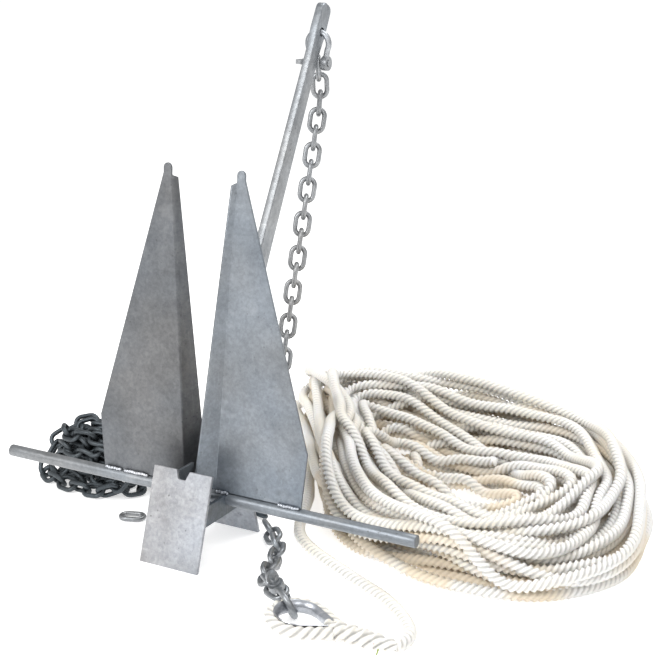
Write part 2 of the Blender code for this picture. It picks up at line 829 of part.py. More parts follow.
def main():
    clear_scene()
    build_stock()
    build_shank()
    build_palm("palm_front", -1)
    build_palm("palm_rear", 1)
    build_web("crown_web_left", -1)
    build_web("crown_web_right", 1)
    build_cheek("crown_cheek_front", -1)
    build_cheek("crown_cheek_rear", 1)
    build_fluke("fluke_left", -1)
    build_fluke("fluke_right", 1)
    for name, (start, end) in BEADS.items():
        build_bead(name, start, end)

    crown = shank_point(SHANK_EYE, SHANK_EYE_OFFSET)
    pin = crown - Vector((0, 0, SHACKLE_REACH))
    upper = frame_at(pin, (1, 0, 0), (0, 0, 1))
    build_bow("upper_shackle_bow", upper, ZINC)
    build_pin("upper_shackle_pin", upper, ZINC)
    build_hanging_chain(pin)

    build_pile()
    build_hidden_run()
    build_stray_link()
    build_floor_run()
    lower = frame_at(LOWER_PIN, lower_pin_axis(), LOWER_BOW)
    build_bow("lower_shackle_bow", lower, ZINC_DARK)
    build_pin("lower_shackle_pin", lower, ZINC_DARK)
    build_thimble()
    build_rope_eye()
    build_tail()
    build_coil()

    hang_on("fluke pivot", (0, 0, STOCK_HEIGHT), FLUKE_ASSEMBLY)
    hang_on("upper shackle pivot", crown, ("upper_shackle_bow", "upper_shackle_pin"))
    hanging = [f"chain_link_{i + 1:02d}" for i in range(HANGING_LINKS)]
    hang_on("hanging chain pivot", pin, hanging)
    hang_on("lower pin pivot", LOWER_PIN, ("lower_shackle_pin",))

    move = Matrix.Translation((0, -ORIGIN_Y * MM, 0))
    for obj in bpy.data.objects:
        if obj.parent is None:
            obj.matrix_world = move @ obj.matrix_world


main()
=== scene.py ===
import math

import bmesh
import bpy
import numpy as np
from mathutils import Matrix, Vector


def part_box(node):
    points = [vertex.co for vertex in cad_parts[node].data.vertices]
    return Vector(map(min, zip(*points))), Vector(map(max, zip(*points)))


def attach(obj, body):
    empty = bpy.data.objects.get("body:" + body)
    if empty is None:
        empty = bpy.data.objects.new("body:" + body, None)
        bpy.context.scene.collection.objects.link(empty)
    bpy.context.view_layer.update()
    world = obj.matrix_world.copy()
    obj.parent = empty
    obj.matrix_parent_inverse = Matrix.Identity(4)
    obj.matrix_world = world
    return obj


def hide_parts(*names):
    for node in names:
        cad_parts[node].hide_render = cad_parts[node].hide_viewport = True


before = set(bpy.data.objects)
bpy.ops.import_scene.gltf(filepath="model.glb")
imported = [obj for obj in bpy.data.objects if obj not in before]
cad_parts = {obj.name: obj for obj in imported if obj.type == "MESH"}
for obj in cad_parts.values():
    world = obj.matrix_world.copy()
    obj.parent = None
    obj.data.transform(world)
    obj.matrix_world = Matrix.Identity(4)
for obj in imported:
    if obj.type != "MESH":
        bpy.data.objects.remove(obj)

bl_info = {
    "name": "Boat Anchor with Chain and Rope",
    "version": (1, 0, 0),
    "blender": (4, 5, 0),
    "location": "View3D > Sidebar > Anchor",
    "description": "Pivoting-fluke anchor, chain leader and a loose heap of three-strand rope",
    "category": "Add Mesh",
}

FLOOR_SHIFT = -0.13465
UP = np.array([0.0, 0.0, 1.0])

# Rope route, in metres, from the splice to the heap.
TAIL_POINTS = np.array(
    [
        (367.5, -141.0, 8.8), (374.0, -124.0, 8.8), (367.0, -102.0, 8.8), (351.0, -80.0, 8.8),
        (328.0, -58.0, 8.8), (299.0, -35.0, 8.8), (250.0, -10.0, 8.8), (206.0, 14.0, 8.8),
        (165.0, 36.0, 8.8), (125.0, 64.0, 8.8), (99.0, 96.0, 8.8), (84.0, 130.0, 8.8),
        (70.0, 165.0, 8.8),
    ]
) * 0.001 + (0, FLOOR_SHIFT, 0)

# Outermost turn of the heap, clockwise from above, and the slit in its middle.
HEAP_EDGE = np.array(
    [
        (56, 205), (-18, 330), (-88, 430), (-148, 510), (-176, 568), (-140, 596), (-30, 585),
        (100, 572), (250, 556), (380, 528), (460, 450), (520, 350), (556, 250), (562, 150),
        (500, 58), (407, 26), (300, 34), (205, 58), (122, 118),
    ]
) * 0.001 + (0, FLOOR_SHIFT)
HEAP_CENTRE = np.array([0.250, 0.300 + FLOOR_SHIFT])
SLIT_HALF = (0.080, 0.012)
SLIT_TURN = 0.09
TURN_POINTS = 260
HEAP_RIM = 0.080
HEAP_MIDDLE = 0.045
HEAP_CREST = 0.84
HEAP_BACK = (-0.45, 0.89)

# How the rope is laid: turns offered, turns from rim to slit, and the waves of
# its share of the way out, as size, waves a turn and start.
LAID_TURNS = 36
SWEEP_TURNS = 5.3
SHARE_WAVES = ((0.060, 0.37, 0.4), (0.070, 1.31, 2.1), (0.045, 2.23, 4.4))
ROPE_LIFT = 0.0003
ROPE_POINTS = 16500
RING_SPACING = 0.0028
RING_POINTS = 6

# Rope round the thimble and the splice behind it.
EYE_CENTRE = (0.238, -0.150 + FLOOR_SHIFT, 0.0173)
EYE_TILT = math.radians(5.6)
EYE_TURN = math.radians(4.0)
EYE_RADIUS = 0.035
EYE_TIP = 0.064
EYE_REACH = 0.68
EYE_LAY = 0.038
SPLICE_START = 0.036
SPLICE_END = 0.130
SPLICE_LAY = 0.052
SPLICE_RINGS = 90

PILE_CENTRE = np.array([-0.255, 0.120 + FLOOR_SHIFT])
PILE_HALF = np.array([0.104, 0.050])
PILE_HEIGHT = 0.075
PILE_STEPS = 1400
PILE_TURN_STEPS = 110.0
PILE_SWEEP_TURNS = 3.1
LINK_BED = 0.0095
BEHIND_POINTS = np.array(
    [(20, 113, 10.4), (-20, 124, 10.4), (-70, 122, 10.4), (-108, 116, 10.4)]
) * 0.001 + (0, FLOOR_SHIFT, 0)

# Where the camera stands, and its turn in degrees.
VIEW_PLACE = (1.06652, -1.75069, 0.88442)
VIEW_TURN = (73.430817, -0.464151, 28.454435)
FLOOR_HALF = 40.0
FLOOR_LEVEL = -0.0004

# Each lamp: name, place, what it points at, size and power.
LAMPS = (
    ("key", (-0.9, -2.7, 2.1), (0.1, 0.1, 0.2), 1.3, 74.0),
    ("fill", (2.2, -2.2, 2.4), (0.1, 0.1, 0.1), 1.6, 30.0),
    ("top", (0.5, 0.9, 2.8), (0.2, 0.2, 0.1), 1.8, 52.0),
)

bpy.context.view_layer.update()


class ANCHOR_PG_rope(bpy.types.PropertyGroup):
    diameter: bpy.props.FloatProperty(
        name="Diameter", description="Thickness of the rope", default=0.017, unit="LENGTH"
    )
    length: bpy.props.FloatProperty(
        name="Length", description="Rope from the splice to its end", default=45.4, unit="LENGTH"
    )
    lay: bpy.props.FloatProperty(
        name="Lay", description="Length of one full turn of a strand", default=0.027, unit="LENGTH"
    )
    valley: bpy.props.FloatProperty(
        name="Valley", description="Radius between two strands, as a share", default=0.60
    )
    white: bpy.props.FloatVectorProperty(
        name="White", description="Crown of a strand", subtype="COLOR",
        default=(0.93, 0.928, 0.92),
    )
    # Cream is painted shade: it is laid on the turns that lie deep in the gaps of the heap.
    cream: bpy.props.FloatVectorProperty(
        name="Cream", description="Between the strands", subtype="COLOR",
        default=(0.80, 0.64, 0.42),
    )


class ANCHOR_PG_zinc(bpy.types.PropertyGroup):
    plate: bpy.props.FloatVectorProperty(
        name="Plate", description="Fluke plates", subtype="COLOR", default=(0.185, 0.196, 0.208)
    )
    palm: bpy.props.FloatVectorProperty(
        name="Palm", description="Palm plates", subtype="COLOR", default=(0.37, 0.365, 0.37)
    )
    bar: bpy.props.FloatVectorProperty(
        name="Bar", description="Stock and shank", subtype="COLOR", default=(0.30, 0.305, 0.31)
    )
    chain: bpy.props.FloatVectorProperty(
        name="Chain", description="Hanging chain", subtype="COLOR", default=(0.33, 0.33, 0.33)
    )
    pile: bpy.props.FloatVectorProperty(
        name="Pile", description="Chain on the floor", subtype="COLOR", default=(0.075, 0.085, 0.092)
    )


class ANCHOR_PG_chain(bpy.types.PropertyGroup):
    wire: bpy.props.FloatProperty(
        name="Wire", description="Radius of the link wire", default=0.00355, unit="LENGTH"
    )
    inside: bpy.props.FloatProperty(
        name="Inside", description="Inner length of a link", default=0.0258, unit="LENGTH"
    )
    width: bpy.props.FloatProperty(
        name="Width", description="Outer width of a link", default=0.027, unit="LENGTH"
    )
    pile_links: bpy.props.IntProperty(
        name="Pile links", description="Links heaped beside the anchor", default=142
    )


class ANCHOR_PG_stage(bpy.types.PropertyGroup):
    floor: bpy.props.FloatVectorProperty(
        name="Floor", description="Floor colour", subtype="COLOR", default=(0.86, 0.86, 0.86)
    )
    lens: bpy.props.FloatProperty(
        name="Lens", description="Focal length in millimetres", default=84.03
    )


# --- surfaces ----------------------------------------------------------------


def grid_faces(rows, columns, around, along):
    """Faces (P[i, j], P[i, j+1], P[i+1, j+1], P[i+1, j]) of a grid, as point numbers.

    Where around is True, the last column joins the first, and where along is
    True, the last row does.
    """
    i = np.arange(rows if along else rows - 1)[:, None]
    j = np.arange(columns if around else columns - 1)[None, :]
    right, below = (j + 1) % columns, (i + 1) % rows
    corners = [i * columns + j, i * columns + right, below * columns + right, below * columns + j]
    return np.stack(corners, axis=-1)


def mesh_object(name, points, faces):
    """A smooth mesh object in the scene."""
    mesh = bpy.data.meshes.new(name)
    mesh.from_pydata(points.tolist(), [], faces)
    mesh.polygons.foreach_set("use_smooth", np.ones(len(mesh.polygons), bool))
    obj = bpy.data.objects.new(name, mesh)
    bpy.context.scene.collection.objects.link(obj)
    return obj


def surface(name, grid, around=True, uv=None):
    """A mesh from a grid of points: each row is a section, and the rows run along.

    Where around is True, each section is a ring, and one face closes each end.
    uv is the step of the surface's two coordinates from point to point.
    """
    rows, columns = grid.shape[:2]
    cells = grid_faces(rows, columns, around, False)
    faces = cells.reshape(-1, 4)
    points = grid.reshape(-1, 3)
    ends = []
    turned = False
    if around:
        ends = [np.arange(columns)[::-1].tolist(), (np.arange(columns) + (rows - 1) * columns).tolist()]
        corners = points[faces]
        cross = np.cross(corners[:, 2] - corners[:, 0], corners[:, 3] - corners[:, 1])
        turned = (corners.mean(axis=1) * cross).sum() < 0
    if turned:
        faces = faces[:, ::-1]
        ends = [end[::-1] for end in ends]
    obj = mesh_object(name, points, faces.tolist() + ends)
    if uv is not None:
        layer = obj.data.uv_layers.new(name="surface")
        spread = np.zeros((len(obj.data.loops), 2), np.float32)
        row, column = (k.reshape(-1) for k in np.indices(cells.shape[:2]))
        u = np.stack([row, row, row + 1, row + 1], axis=1) * uv[0]
        v = np.stack([column, column + 1, column + 1, column], axis=1) * uv[1]
        if turned:
            u, v = u[:, ::-1], v[:, ::-1]
        spread[: u.size, 0] = u.reshape(-1)
        spread[: v.size, 1] = v.reshape(-1)
        layer.data.foreach_set("uv", spread.reshape(-1))
    return obj


def closed_curve(points, count):
    """Evenly spaced points on a closed Catmull-Rom curve.

    P(t) = 0.5 (2b + (c-a)t + (2a-5b+4c-d)t^2 + (3b-a-3c+d)t^3) on each span.
    """
    a, b = np.roll(points, 1, 0)[:, None], points[:, None]
    c, d = np.roll(points, -1, 0)[:, None], np.roll(points, -2, 0)[:, None]
    t = (np.arange(40) / 40)[None, :, None]
    dense = 0.5 * (2 * b + (c - a) * t + (2 * a - 5 * b + 4 * c - d) * t**2
                   + (3 * b - a - 3 * c + d) * t**3)
    dense = dense.reshape(-1, points.shape[1])
    dense = np.vstack([dense, dense[:1]])
    return evenly(dense, count + 1)[:-1]


def open_curve(points, count):
    """Evenly spaced points on an open Catmull-Rom curve through the given ones."""
    ends = np.vstack([2 * points[0] - points[1], points, 2 * points[-1] - points[-2]])
    a, b, c, d = (ends[k : len(ends) - 3 + k][:, None] for k in range(4))
    t = (np.arange(24) / 24)[None, :, None]
    dense = 0.5 * (2 * b + (c - a) * t + (2 * a - 5 * b + 4 * c - d) * t**2
                   + (3 * b - a - 3 * c + d) * t**3)
    return evenly(np.vstack([dense.reshape(-1, points.shape[1]), points[-1:]]), count)


def lengths(points):
    """Distance walked to each point of a line, from its first three columns."""
    steps = np.linalg.norm(np.diff(points[:, :3], axis=0), axis=1)
    return np.concatenate([[0.0], np.cumsum(steps)])


def evenly(points, count):
    """The same line with count points at equal distances along it."""
    walked = lengths(points)
    at = np.linspace(0, walked[-1], count)
    return np.stack([np.interp(at, walked, points[:, k]) for k in range(points.shape[1])], axis=1)


def relaxed(points, reach, rounds):
    """A line with its kinks taken out: each column averaged over 2 reach + 1 points.

    Both ends are carried on by their own reflection, 2 p0 - p, so they stay put.
    """
    window = np.ones(2 * reach + 1) / (2 * reach + 1)
    for _ in range(rounds):
        before = 2 * points[0] - points[reach:0:-1]
        after = 2 * points[-1] - points[-2 : -2 - reach : -1]
        full = np.vstack([before, points, after])
        points = np.stack(
            [np.convolve(full[:, k], window, mode="valid") for k in range(points.shape[1])], axis=1
        )
    return points


def frames(path):
    """A line's direction T and two square to it: side = Z x T, up = T x side."""
    way = np.gradient(path, axis=0)
    way /= np.linalg.norm(way, axis=1)[:, None]
    side = np.cross(UP, way)
    side /= np.linalg.norm(side, axis=1)[:, None]
    return way, side, np.cross(way, side)


def laid_rope(name, path, radius, lay, valley, lobes=3, around=12, flat=1.0):
    """Twisted rope: P(s, a) = C(s) + r(a) (cos(a - w) side + flat sin(a - w) up).

    r(a) = radius (valley + (1 - valley) |cos(lobes a / 2)|^0.75), w = 2 pi s / lay,
    so each strand stays in its own columns of the grid.
    """
    _, side, up = frames(path)
    walked = lengths(path)
    a = np.arange(around) * 2 * np.pi / around
    r = valley + (1 - valley) * np.abs(np.cos(lobes * a / 2)) ** 0.75
    radius = np.broadcast_to(np.asarray(radius, float), (len(path),))
    turn = a[None, :] - 2 * np.pi * walked[:, None] / lay
    reach = radius[:, None] * r[None, :]
    grid = (
        path[:, None]
        + (reach * np.cos(turn))[..., None] * side[:, None]
        + (reach * np.sin(turn) * flat)[..., None] * up[:, None]
    )
    step = walked[-1] / (len(path) - 1)
    return surface(name, grid, uv=(step / lay, 1.0 / around))


# --- laying a line in a heap ---------------------------------------------------


def resting(ground, spots, low, cell, reach, floor):
    """Heights at which points rest on what is below them, and no lower than floor.

    z = max over the cells around of h + sqrt(reach^2 - d^2), h the height of
    the line in that cell and d the distance to it.
    """
    k = int(math.ceil(reach / cell))
    dx, dy = np.meshgrid(np.arange(-k, k + 1), np.arange(-k, k + 1), indexing="ij")
    near = dx**2 + dy**2 <= (reach / cell) ** 2
    dx, dy = dx[near], dy[near]
    size = np.array(ground.shape)
    cells = np.rint((spots - low) / cell).astype(int)
    cx = np.clip(cells[:, :1] + dx, 0, size[0] - 1)
    cy = np.clip(cells[:, 1:] + dy, 0, size[1] - 1)
    gap = (low[0] + cx * cell - spots[:, :1]) ** 2 + (low[1] + cy * cell - spots[:, 1:]) ** 2
    below = ground[cx, cy]
    lift = np.sqrt(np.clip(reach**2 - gap, 0, None))
    return np.maximum(np.where(below > 0, below + lift, 0).max(axis=1), floor)


def eased_over(need, first, rounds=40):
    """A line over its supports: z = max(need, mean of its neighbours), many times."""
    z = need.copy()
    for _ in range(rounds):
        before = np.concatenate([[first], z[:-1]])
        after = np.concatenate([z[1:], z[-1:]])
        z = np.maximum(need, 0.5 * (before + after) - 0.00002)
    return z


def settled(line, mound, count, radius, squash, low, high, chunk, recent, shifts, cell=0.003):
    """A line laid part by part, each part slid to where the mound lacks most.

    line(i, slide) gives the plan points of step numbers i, slid across the heap
    by slide, and their shares of the way out. Of the slides around the last
    one, each part takes the one with the lowest height above mound(share).
    The last column is how deep each point ends up under the line above it.
    """
    size = np.ceil((np.asarray(high) - low) / cell).astype(int) + 1
    ground = np.full(size, -1.0)
    reach = 2 * squash * radius
    flat = np.zeros((count, 2))
    heights = np.full(count, radius)
    slide, wet = 0.0, 0
    for start in range(0, count, chunk):
        steps = np.arange(start, min(start + chunk, count))
        ease = (steps - start + 1) / chunk
        ease = ease * ease * (3 - 2 * ease)
        best = None
        for shift in shifts:
            aim = np.clip(slide + shift, -0.6, 0.6)
            spots, share = line(steps, slide + (aim - slide) * ease)
            need = resting(ground, spots, low, cell, reach, radius)
            over = need - mound(share, spots)
            cost = over.mean() + 0.5 * over.max() + 0.010 * abs(aim - slide)
            if best is None or cost < best[0]:
                best = (cost, aim, spots, need)
        _, slide, spots, need = best
        first = heights[start - 1] if start else need[0]
        flat[steps], heights[steps] = spots, eased_over(need, first)
        upto = max(wet, steps[-1] + 1 - recent)
        at = np.rint((flat[wet:upto] - low) / cell).astype(int)
        at = np.clip(at, 0, size - 1)
        np.maximum.at(ground, (at[:, 0], at[:, 1]), heights[wet:upto])
        wet = upto
    soft = np.concatenate([[heights[0]] * 4, heights, [heights[-1]] * 4])
    soft = np.convolve(soft, np.ones(9) / 9, mode="valid")
    at = np.clip(np.rint((flat - low) / cell).astype(int), 0, size - 1)
    np.maximum.at(ground, (at[:, 0], at[:, 1]), heights)
    top = resting(ground, flat, low, cell, 0.55 * radius, radius)
    return np.column_stack([flat, soft, top - soft])


def heap_mound(share, spots):
    """Height of the heap: a rim near its edge, a low middle, and more at the back left.

    H = H0(share) (1 + 0.55 back + 0.12 sin(17 x + 1)), back rising from 0 to 1
    along HEAP_BACK. H0 rises as share^1.2 to the crest, then falls as a rounded edge.
    """
    fall = np.clip((share - HEAP_CREST) / (1.0 - HEAP_CREST), 0, 1)
    edge = HEAP_RIM * np.sqrt(np.clip(1 - fall**2.2, 0, 1))
    rise = np.clip(share / HEAP_CREST, 0, 1)
    level = np.where(share > HEAP_CREST, edge, HEAP_MIDDLE + (HEAP_RIM - HEAP_MIDDLE) * rise**1.2)
    back = np.clip(((spots - HEAP_CENTRE) @ HEAP_BACK - 0.10) / 0.22, 0, 1)
    return level * (1 + 0.55 * back + 0.12 * np.sin(spots[:, 0] * 17 + 1.0))


def pile_mound(share, spots):
    """Height of the chain pile: a dome."""
    return PILE_HEIGHT * np.sqrt(np.clip(1.05 - share**2, 0, 1))


def heap_line():
    """The rope's loops seen from above, as a function of step number and slide.

    P = centre + slit + share (edge - centre - slit), where share sweeps out and
    in with slow waves of its own, edge is the outermost turn, and slide is added
    to share.
    """
    edge = closed_curve(HEAP_EDGE, TURN_POINTS)
    spread = edge - HEAP_CENTRE
    angle = np.arctan2(spread[:, 1], spread[:, 0]) - SLIT_TURN
    a, b = SLIT_HALF
    slit = a * b / np.sqrt((b * np.cos(angle)) ** 2 + (a * np.sin(angle)) ** 2)
    inner = spread / np.linalg.norm(spread, axis=1)[:, None] * slit[:, None]

    def line(i, slide):
        t = i / TURN_POINTS
        k = i % TURN_POINTS
        sweep = np.abs((t / SWEEP_TURNS) % 2 - 1)
        wave = sum(size * np.sin(2 * np.pi * often * t + start) for size, often, start in SHARE_WAVES)
        share = 0.20 + 0.76 * sweep**0.8 + wave + slide
        start = np.clip(t / 0.3, 0, 1)
        share = np.clip(share, 0.09, 0.985 - 0.02 * np.sin(2 * np.pi * 0.61 * t) ** 2)
        share = 1.0 - start + share * start
        return HEAP_CENTRE + inner[k] + share[:, None] * (spread[k] - inner[k]), share

    return line


# --- materials ------------------------------------------------------------------

# Each zinc finish: roughness, metal, crystal flakes, pits, scratches and relief.
ZINC_FINISHES = {
    "chain_finish": (0.44, 0.85, 0.3, 0.3, 0.5, 0.4),
    "floor_chain_finish": (0.42, 0.85, 0.3, 0.4, 0.5, 0.4),
    "pile_finish": (0.5, 0.8, 0.3, 0.5, 0.4, 0.4),
    "shackle_finish": (0.42, 0.85, 0.3, 0.4, 0.5, 0.35),
    "lower_shackle_finish": (0.42, 0.85, 0.3, 0.4, 0.5, 0.35),
    "thimble_finish": (0.34, 0.9, 0.2, 0.3, 0.4, 0.15),
    # The two fluke finishes below go with lit and shaded copies of the plate colour: painted light on the
    # right fluke, painted shade on the left.
    "left_fluke_painted_shade": (0.48, 0.80, 0.35, 0.4, 0.35, 0.14),
    "right_fluke_painted_light": (0.43, 0.80, 0.30, 0.35, 0.40, 0.12),
    "palm_finish": (0.50, 0.72, 0.45, 0.75, 0.25, 0.22),
    "crown_finish": (0.42, 0.85, 0.35, 0.5, 0.5, 0.25),
    "weld_finish": (0.36, 0.8, 0.4, 0.2, 0.3, 0.9),
    "stock_finish": (0.46, 0.82, 0.20, 0.5, 0.45, 0.15),
    "shank_finish": (0.42, 0.82, 0.35, 0.6, 0.45, 0.3),
}
# Painted shade: the left fluke's colour is the plate colour darkened by these factors.
LEFT_FLUKE_PAINTED_SHADE = (0.80, 0.76, 0.73)


class Nodes:
    """Adds shader nodes and joins them."""

    def __init__(self, name):
        self.material = bpy.data.materials.new(name)
        self.material.use_nodes = True
        self.tree = self.material.node_tree
        self.shader = self.tree.nodes["Principled BSDF"]

    def add(self, kind, *inputs, **settings):
        node = self.tree.nodes.new(kind)
        for key, value in settings.items():
            setattr(node, key, value)
        for socket, value in inputs:
            self.put(node.inputs[socket], value)
        return node

    def put(self, socket, value):
        if isinstance(value, bpy.types.NodeSocket):
            self.tree.links.new(value, socket)
        else:
            socket.default_value = value

    def ramp(self, fac, low, high, dark=(0, 0, 0, 1), light=(1, 1, 1, 1)):
        node = self.add("ShaderNodeValToRGB", ("Fac", fac))
        node.color_ramp.elements[0].position = low
        node.color_ramp.elements[1].position = high
        node.color_ramp.elements[0].color = dark
        node.color_ramp.elements[1].color = light
        return node.outputs["Color"]

    def mix(self, fac, a, b, blend="MIX"):
        node = self.add("ShaderNodeMix", data_type="RGBA", blend_type=blend)
        self.put(node.inputs[0], fac)
        self.put(node.inputs[6], a)
        self.put(node.inputs[7], b)
        return node.outputs[2]

    def math(self, kind, a, b=0.0):
        return self.add("ShaderNodeMath", (0, a), (1, b), operation=kind).outputs[0]

    def noise(self, vector, scale, detail=4.0, rough=0.55):
        return self.add(
            "ShaderNodeTexNoise", ("Vector", vector), ("Scale", scale), ("Detail", detail),
            ("Roughness", rough),
        ).outputs["Fac"]


def shade(colour, factor):
    return (*[min(1.0, c * factor) for c in colour], 1.0)


def zinc(name, colour):
    """Hot-dip zinc: soft clouds, crystal flakes, rubbed scratches and dark pits."""
    rough, metal, spangle, pits, scratches, bump = ZINC_FINISHES[name]
    m = Nodes(name)
    place = m.add("ShaderNodeTexCoord").outputs["Object"]
    cloud = m.noise(place, 14.0, 6.0, 0.62)
    tone = m.ramp(cloud, 0.34, 0.66, shade(colour, 0.82), shade(colour, 1.15))
    speckle = m.noise(place, 210.0, 4.0, 0.7)
    speck = m.ramp(speckle, 0.36, 0.64, (0.80, 0.80, 0.81, 1), (1.20, 1.20, 1.19, 1))
    tone = m.mix(0.55, tone, speck, "MULTIPLY")
    drift = m.ramp(m.noise(place, 5.0, 3.0), 0.35, 0.65)
    tone = m.mix(drift, tone, m.mix(1.0, tone, (0.92, 0.99, 1.07, 1), "MULTIPLY"))
    flakes = m.add(
        "ShaderNodeTexVoronoi", ("Vector", place), ("Scale", 150.0), feature="F1"
    ).outputs["Color"]
    flake = m.add("ShaderNodeSeparateColor", ("Color", flakes)).outputs[0]
    grain = m.ramp(flake, 0.0, 1.0, (0.80, 0.80, 0.81, 1), (1.18, 1.18, 1.16, 1))
    tone = m.mix(spangle, tone, grain, "MULTIPLY")
    stretch = m.add(
        "ShaderNodeMapping", ("Vector", place), ("Rotation", (0.3, 0.9, 0.5)),
        ("Scale", (9.0, 160.0, 9.0)),
    ).outputs[0]
    lines = m.noise(stretch, 1.6, 3.0, 0.7)
    rub = m.ramp(lines, 0.60, 0.72)
    tone = m.mix(m.math("MULTIPLY", rub, scratches), tone, shade(colour, 1.75))
    smudge = m.noise(place, 36.0, 5.0, 0.7)
    stain = m.ramp(smudge, 0.56, 0.78)
    tone = m.mix(m.math("MULTIPLY", stain, 0.42), tone, shade(colour, 0.52))
    dots = m.add(
        "ShaderNodeTexVoronoi", ("Vector", place), ("Scale", 95.0), feature="F1"
    ).outputs["Distance"]
    patch = m.ramp(m.noise(place, 23.0, 2.0), 0.50, 0.60)
    spot = m.math("MULTIPLY", m.math("LESS_THAN", dots, 0.13), patch)
    tone = m.mix(m.math("MULTIPLY", spot, pits), tone, shade(colour, 0.34))
    m.put(m.shader.inputs["Base Color"], tone)
    m.shader.inputs["Metallic"].default_value = metal
    varied = m.math("MULTIPLY_ADD", cloud, 0.22)
    varied.node.inputs[2].default_value = rough - 0.11
    m.put(m.shader.inputs["Roughness"], varied)
    fine = m.noise(place, 420.0, 3.0)
    coarse = m.noise(place, 60.0, 4.0)
    relief = m.math("ADD", m.math("MULTIPLY", fine, 0.35), coarse)
    lift = m.add("ShaderNodeBump", ("Height", relief), ("Strength", bump), ("Distance", 0.0012))
    m.put(m.shader.inputs["Normal"], lift.outputs[0])
    return m.material


def nylon(name, white, cream, lobes=3, flecks=0.0):
    """Laid nylon: white crowns with painted grey shade in the strand valleys, painted cream shade where a
    turn lies deep in the heap, and yarns slanting on each strand with painted shade in their grooves.
    """
    m = Nodes(name)
    uv = m.add("ShaderNodeUVMap", uv_map="surface").outputs[0]
    split = m.add("ShaderNodeSeparateXYZ", ("Vector", uv))
    place = m.add("ShaderNodeTexCoord").outputs["Object"]
    around = m.math("MULTIPLY", split.outputs["Y"], 2 * math.pi * lobes)
    crown = m.math("MULTIPLY_ADD", m.math("COSINE", around), 0.5)
    crown.node.inputs[2].default_value = 0.5
    # Painted shade: the valleys between strands get a grey, darker copy of the white, and the crowns stay
    # white.
    depth = m.ramp(crown, 0.02, 0.55)
    # Painted shade: cream mixed in where the rope lies deep under the turns above it, in the gaps of the
    # heap.
    under = m.add("ShaderNodeAttribute", attribute_name="buried").outputs["Fac"]
    under = m.math("ADD", under, m.math("MULTIPLY", m.noise(place, 70.0, 3.0), 0.006))
    gap = m.ramp(under, 0.012, 0.030)
    warm = m.ramp(m.noise(place, 9.0, 3.0), 0.36, 0.66)
    pale = m.mix(warm, (*white, 1.0), (white[0] * 0.99, white[1] * 0.95, white[2] * 0.86, 1.0))
    tone = m.mix(depth, (white[0] * 0.62, white[1] * 0.61, white[2] * 0.59, 1.0), pale)
    tone = m.mix(m.math("MULTIPLY", gap, 0.55), tone, (*cream, 1.0))
    if flecks:
        dots = m.add(
            "ShaderNodeTexVoronoi", ("Vector", place), ("Scale", 130.0), feature="F1"
        ).outputs["Distance"]
        patch = m.ramp(m.noise(place, 45.0, 2.0), 0.58, 0.62)
        spot = m.math("MULTIPLY", m.math("LESS_THAN", dots, 0.20), patch)
        tone = m.mix(m.math("MULTIPLY", spot, flecks), tone, (0.55, 0.13, 0.13, 1.0))
    # Painted shade: the grooves between the yarns are darkened; the yarn lines also drive the bump.
    yarn_line = m.math("ADD", split.outputs["X"], split.outputs["Y"])
    yarn = m.math("SINE", m.math("MULTIPLY", yarn_line, 2 * math.pi * 21))
    fuzz = m.noise(place, 900.0, 2.0)
    yarn_groove_shade = m.math("MULTIPLY_ADD", yarn, 0.10)
    m.put(yarn_groove_shade.node.inputs[2], 0.90)
    tone = m.mix(0.55, tone, m.ramp(yarn_groove_shade, 0.75, 1.0, (0.80, 0.78, 0.74, 1), (1, 1, 1, 1)), "MULTIPLY")
    m.put(m.shader.inputs["Base Color"], tone)
    m.shader.inputs["Roughness"].default_value = 0.72
    m.shader.inputs["Sheen Weight"].default_value = 0.25
    m.shader.inputs["Subsurface Weight"].default_value = 0.12
    m.shader.inputs["Subsurface Radius"].default_value = (0.004, 0.003, 0.002)
    m.shader.inputs["Subsurface Scale"].default_value = 1.0
    relief = m.math("ADD", m.math("MULTIPLY", yarn, 0.5), fuzz)
    lift = m.add("ShaderNodeBump", ("Height", relief), ("Strength", 0.35), ("Distance", 0.0006))
    m.put(m.shader.inputs["Normal"], lift.outputs[0])
    return m.material


def dress(obj, material):
    obj.data.materials.clear()
    obj.data.materials.append(material)


def settle(obj, body, slot, material, *nodes):
    """Gives a piece its finish and its body, and hides the solids that it stands for."""
    dress(obj, material)
    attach(obj, body)
    if nodes:
        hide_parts(*nodes)
    return obj


def eased(node, name, width, sharp=32.0, segments=2):
    """A welded copy of a solid with its edges rounded by width."""
    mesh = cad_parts[node].data.copy()
    mesh.name = name
    shape = bmesh.new()
    shape.from_mesh(mesh)
    bmesh.ops.remove_doubles(shape, verts=shape.verts, dist=2e-5)
    bmesh.ops.dissolve_limit(
        shape, angle_limit=math.radians(0.6), verts=shape.verts, edges=shape.edges
    )
    shape.to_mesh(mesh)
    shape.free()
    mesh.materials.clear()
    mesh.polygons.foreach_set("use_smooth", np.ones(len(mesh.polygons), bool))
    mesh.set_sharp_from_angle(angle=math.radians(sharp))
    obj = bpy.data.objects.new(name, mesh)
    bpy.context.scene.collection.objects.link(obj)
    if width:
        bevel = obj.modifiers.new("eased edges", "BEVEL")
        bevel.width = width
        bevel.segments = segments
        bevel.limit_method = "ANGLE"
        bevel.angle_limit = math.radians(sharp)
        bevel.harden_normals = True
    return obj


def node_points(node):
    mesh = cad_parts[node].data
    points = np.empty(len(mesh.vertices) * 3, np.float32)
    mesh.vertices.foreach_get("co", points)
    return points.reshape(-1, 3).astype(float)


def node_axes(node):
    """Mean point of a link's solid, and its long and wide directions."""
    points = np.unique(np.round(node_points(node), 6), axis=0)
    middle = points.mean(0)
    _, ways = np.linalg.eigh(np.cov((points - middle).T))
    return middle, ways[:, 2], ways[:, 1]


